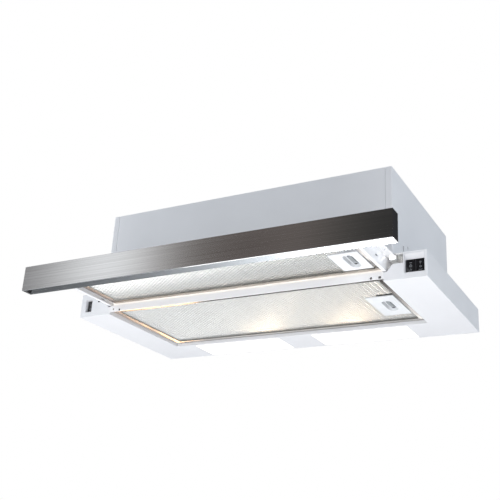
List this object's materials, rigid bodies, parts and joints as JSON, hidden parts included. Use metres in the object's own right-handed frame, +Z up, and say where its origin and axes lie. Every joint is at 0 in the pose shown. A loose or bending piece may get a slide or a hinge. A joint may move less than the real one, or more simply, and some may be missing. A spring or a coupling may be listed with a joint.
{
  "type": "under cabinet range hood",
  "caption": "Slide-out cooker hood for a wall cabinet, with a steel drawer fascia, metal grease filters, rear lights, rocker switches, blower and duct collar.",
  "frame": {"origin": "middle of the four cabinet fixing holes, in the plane of the tray's top", "axes": "+X to the right seen from the front, +Y towards the wall, +Z up"},
  "size_m": [0.598, 0.4205, 0.2155],
  "materials": {
    "painted_steel": "satin powder coat",
    "stainless": "brushed along its length",
    "galvanised": "zinc plated",
    "fastener": "bright zinc",
    "filter_aluminium": "mill finish",
    "filter_mesh": "expanded and pleated",
    "handle_plastic": "satin",
    "latch_plastic": "satin",
    "white_plastic": "satin",
    "black_plastic": "fine grain",
    "rocker_plastic": "gloss",
    "blower_plastic": "moulded",
    "motor_metal": "satin",
    "terminal_brass": "plain",
    "reflector": "bright",
    "lamp_socket": "ceramic white",
    "bulb_glass": "frosted",
    "diffuser": "frosted"
  },
  "bodies": {
    "casing": {"blower_housing_left": "blower_plastic", "blower_housing_right": "blower_plastic", "blower_screws": "fastener", "body_rivets": "fastener", "cable_gland": "black_plastic", "capacitor": "motor_metal", "capacitor_clip": "galvanised", "drawer_microswitch": "black_plastic", "flap_pins": "fastener", "front_crossbar": "painted_steel", "front_panel": "painted_steel", "glide_strips": "white_plastic", "guide_rail_left": "galvanised", "guide_rail_right": "galvanised", "lamp_bulb_left": "bulb_glass", "lamp_bulb_right": "bulb_glass", "lamp_holder_left": "lamp_socket", "lamp_holder_right": "lamp_socket", "lamp_reflector_left": "reflector", "lamp_reflector_right": "reflector", "left_switch_bezel": "white_plastic", "left_switch_body": "black_plastic", "lower_tray": "painted_steel", "motor": "motor_metal", "motor_bracket": "galvanised", "outlet_collar": "black_plastic", "rear_panel": "painted_steel", "right_switch_bezel": "white_plastic", "right_switch_body": "black_plastic", "side_panel_left": "painted_steel", "side_panel_right": "painted_steel", "switch_terminals": "terminal_brass", "terminal_box": "white_plastic", "terminal_cover": "white_plastic", "top_panel": "painted_steel"},
    "drawer": {"fascia": "stainless", "fascia_rear_plate": "stainless", "fascia_screws": "fastener", "drawer_rail_left": "painted_steel", "drawer_rail_right": "painted_steel", "drawer_rear_rail": "painted_steel", "drawer_filter_frame": "filter_aluminium", "drawer_filter_mesh": "filter_mesh", "drawer_filter_handle": "handle_plastic"},
    "drawer_latch": {"drawer_filter_latch": "latch_plastic"},
    "rear_filter": {"rear_filter_frame": "filter_aluminium", "rear_filter_mesh": "filter_mesh", "rear_filter_handle": "handle_plastic"},
    "rear_latch": {"rear_filter_latch": "latch_plastic"},
    "fan": {"impeller": "blower_plastic", "motor_shaft": "fastener"},
    "front_flap": {"flap_front": "black_plastic"},
    "back_flap": {"flap_rear": "black_plastic"},
    "fan_switch": {"fan_rocker": "rocker_plastic"},
    "lamp_switch": {"lamp_rocker": "rocker_plastic"},
    "power_switch": {"power_rocker": "rocker_plastic"},
    "left_lamp_cover": {"lamp_cover_left": "diffuser"},
    "right_lamp_cover": {"lamp_cover_right": "diffuser"}
  },
  "joints": [
    {"name": "drawer_slide", "type": "slide", "parent": "casing", "child": "drawer", "axis": [0, 1, 0], "range_m": [0, 0.12]},
    {"name": "drawer_latch_slide", "type": "slide", "parent": "drawer", "child": "drawer_latch", "axis": [-1, 0, 0], "range_m": [0, 0.005], "stiffness_N_per_m": 150},
    {"name": "rear_filter_drop", "type": "hinge", "parent": "casing", "child": "rear_filter", "pos_m": [-0.23, -0.04, -0.03175], "axis": [0, 1, 0], "range_deg": [0, 90]},
    {"name": "rear_latch_slide", "type": "slide", "parent": "rear_filter", "child": "rear_latch", "axis": [-1, 0, 0], "range_m": [0, 0.005], "stiffness_N_per_m": 150},
    {"name": "fan_spin", "type": "hinge", "parent": "casing", "child": "fan", "pos_m": [0, -0.02, 0.062], "axis": [1, 0, 0], "continuous": true},
    {"name": "front_flap_swing", "type": "hinge", "parent": "casing", "child": "front_flap", "pos_m": [0, -0.01, 0.15], "axis": [-1, 0, 0], "range_deg": [0, 80]},
    {"name": "back_flap_swing", "type": "hinge", "parent": "casing", "child": "back_flap", "pos_m": [0, -0.002, 0.15], "axis": [1, 0, 0], "range_deg": [0, 80]},
    {"name": "fan_switch_tilt", "type": "hinge", "parent": "casing", "child": "fan_switch", "pos_m": [0.27405, -0.1305, -0.02085], "axis": [1, 0, 0], "range_deg": [-8, 8]},
    {"name": "lamp_switch_tilt", "type": "hinge", "parent": "casing", "child": "lamp_switch", "pos_m": [0.28795, -0.1305, -0.02085], "axis": [1, 0, 0], "range_deg": [-8, 8]},
    {"name": "power_switch_tilt", "type": "hinge", "parent": "casing", "child": "power_switch", "pos_m": [-0.28275, -0.1305, -0.02085], "axis": [1, 0, 0], "range_deg": [-8, 8]},
    {"name": "left_lamp_cover_drop", "type": "hinge", "parent": "casing", "child": "left_lamp_cover", "pos_m": [-0.1155, 0.1322, -0.036], "axis": [1, 0, 0], "range_deg": [0, 80]},
    {"name": "right_lamp_cover_drop", "type": "hinge", "parent": "casing", "child": "right_lamp_cover", "pos_m": [0.1155, 0.1322, -0.036], "axis": [1, 0, 0], "range_deg": [0, 80]}
  ]
}
